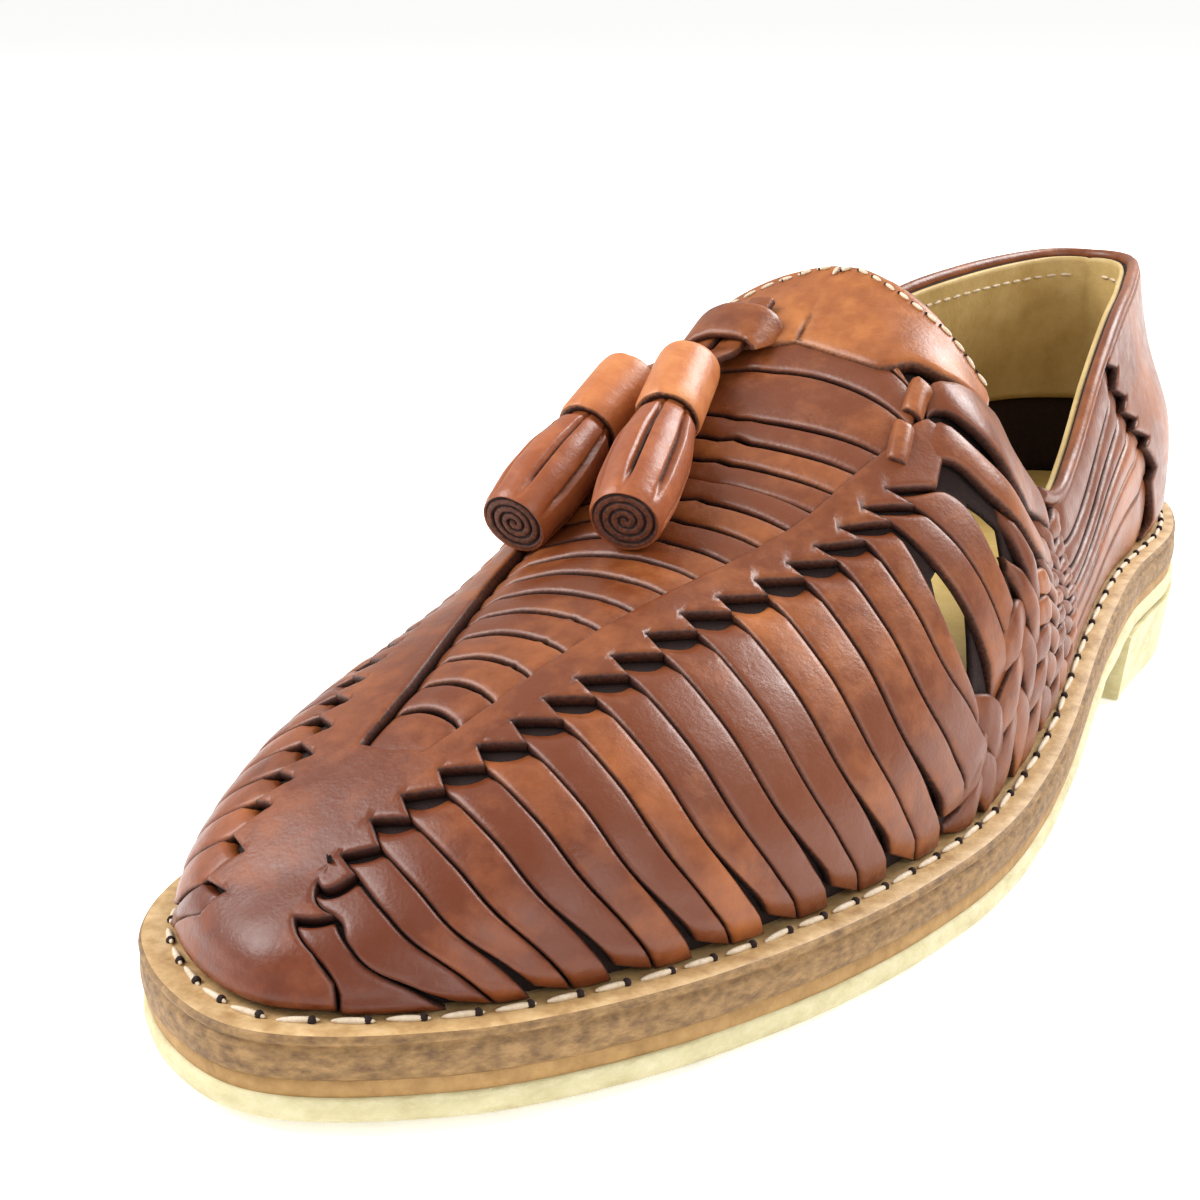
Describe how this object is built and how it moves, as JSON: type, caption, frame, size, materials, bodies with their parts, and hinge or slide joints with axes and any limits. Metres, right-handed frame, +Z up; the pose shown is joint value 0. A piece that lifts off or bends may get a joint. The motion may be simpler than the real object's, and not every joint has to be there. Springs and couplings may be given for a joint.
{
  "type": "woven leather huarache loafer",
  "caption": "Closed-toe slip-on huarache woven from leather strips, with a rounded throat tab, paired tassels, stitched leather midsole and crepe rubber sole.",
  "frame": {"origin": "on the floor, under the middle of the shoe's box", "axes": "+Z up, -Y towards the toe, +X towards the outer (lateral) side of this left shoe"},
  "size_m": [0.104, 0.298, 0.0936],
  "materials": {
    "crepe": "natural crepe rubber, matt, with a rough cut edge",
    "tan_leather": "vegetable tanned sole leather with a raw fibrous edge",
    "lining_leather": "undyed natural lining leather",
    "brown_leather": "hand-burnished brown leather, semi-gloss, darker cut edges"
  },
  "bodies": {
    "root": {"crepe_heel": "crepe", "crepe_outsole": "crepe", "slip_sole": "tan_leather", "leather_midsole": "tan_leather", "insole": "lining_leather", "woven_upper": "brown_leather", "throat_tab": "brown_leather", "heel_lining": "lining_leather", "tassel_strap_front": "brown_leather", "tassel_strap_rear": "brown_leather", "keeper_loop": "brown_leather", "tassel_collar_front": "brown_leather", "tassel_body_front": "brown_leather", "tassel_collar_rear": "brown_leather", "tassel_body_rear": "brown_leather"}
  },
  "joints": []
}
